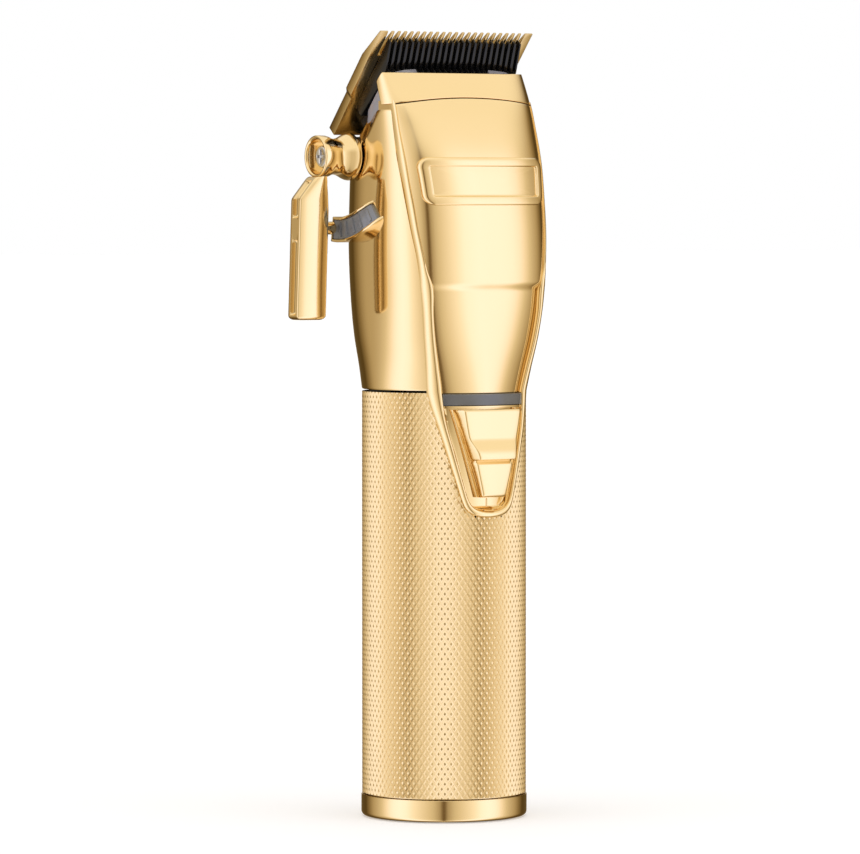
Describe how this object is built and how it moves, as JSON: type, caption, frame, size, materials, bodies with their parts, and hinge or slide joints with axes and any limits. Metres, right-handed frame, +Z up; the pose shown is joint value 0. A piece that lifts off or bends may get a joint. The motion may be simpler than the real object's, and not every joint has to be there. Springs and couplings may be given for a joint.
{
  "type": "cordless hair clipper",
  "caption": "Cordless hair clipper with a knurled barrel handle, flared polished head, angled toothed blade, side taper lever with a curved click scale and a front slide switch.",
  "frame": {"origin": "middle of the flat base, where the clipper stands", "axes": "+Z up the barrel, the switch and nameplate face -Y, the taper lever is on -X"},
  "size_m": [0.0581, 0.0418, 0.1812],
  "materials": {
    "polished_gold": "mirror-polished light gold plating",
    "knurled_gold": "satin gold, fine diamond knurl",
    "blade_gold": "satin gold titanium coating",
    "black_blade": "glossy black carbon coating",
    "grey_plastic": "semi-gloss grey",
    "grey_lens": "smoky light window",
    "steel": "bright steel",
    "black_plastic": "moulded black",
    "contact_brass": "plated brass",
    "socket_metal": "black socket body",
    "cell_wrap": "heat-shrink wrap",
    "board_green": "solder mask"
  },
  "bodies": {
    "housing": {"end_ring": "polished_gold", "base_plate": "black_plastic", "dc_socket": "socket_metal", "charging_contacts": "contact_brass", "barrel_grip": "knurled_gold", "battery_holder": "black_plastic", "battery_cell": "cell_wrap", "circuit_board": "board_green", "board_parts": "black_plastic", "micro_switch": "black_plastic", "head_shell": "polished_gold", "front_cover": "polished_gold", "nose_cap": "polished_gold", "nameplate": "polished_gold", "light_bar": "grey_lens", "switch_bed": "polished_gold", "chassis": "black_plastic", "motor_can": "steel", "motor_plate": "steel", "motor_screws": "steel", "head_frame": "grey_plastic", "carriage_guide": "black_plastic", "lever_bushing": "contact_brass", "scale_bracket": "polished_gold", "scale_strip": "grey_plastic"},
    "taper_lever": {"taper_lever": "polished_gold", "lever_shaft": "steel", "lever_screw": "steel"},
    "blade_carriage": {"fixed_blade": "blade_gold", "blade_carriage": "black_plastic", "blade_screws": "steel"},
    "cutter": {"cutter_blade": "black_blade", "drive_fork": "black_plastic"},
    "motor_rotor": {"motor_rotor": "steel", "crank": "steel"},
    "switch_slider": {"switch_slider": "polished_gold"}
  },
  "joints": [
    {"name": "taper_lever_turn", "type": "hinge", "parent": "housing", "child": "taper_lever", "pos_m": [-0.0255, 0.0075, 0.1525], "axis": [-1, 0, 0], "range_deg": [0, 40]},
    {"name": "blade_slide", "type": "slide", "parent": "housing", "child": "blade_carriage", "axis": [0, 0.6691, -0.7431], "range_m": [0, 0.0016]},
    {"name": "cutter_stroke", "type": "slide", "parent": "housing", "child": "cutter", "axis": [1, 0, 0], "range_m": [-0.001, 0.001]},
    {"name": "motor_spin", "type": "hinge", "parent": "housing", "child": "motor_rotor", "pos_m": [0, 0.001, 0.12], "axis": [0, 0, 1], "continuous": true},
    {"name": "switch_slide", "type": "slide", "parent": "housing", "child": "switch_slider", "axis": [0, 0, -1], "range_m": [0, 0.002]}
  ],
  "couplings": [
    {"joint": "blade_slide", "follows": "taper_lever_turn", "m_per_rad": 0.00229}
  ]
}
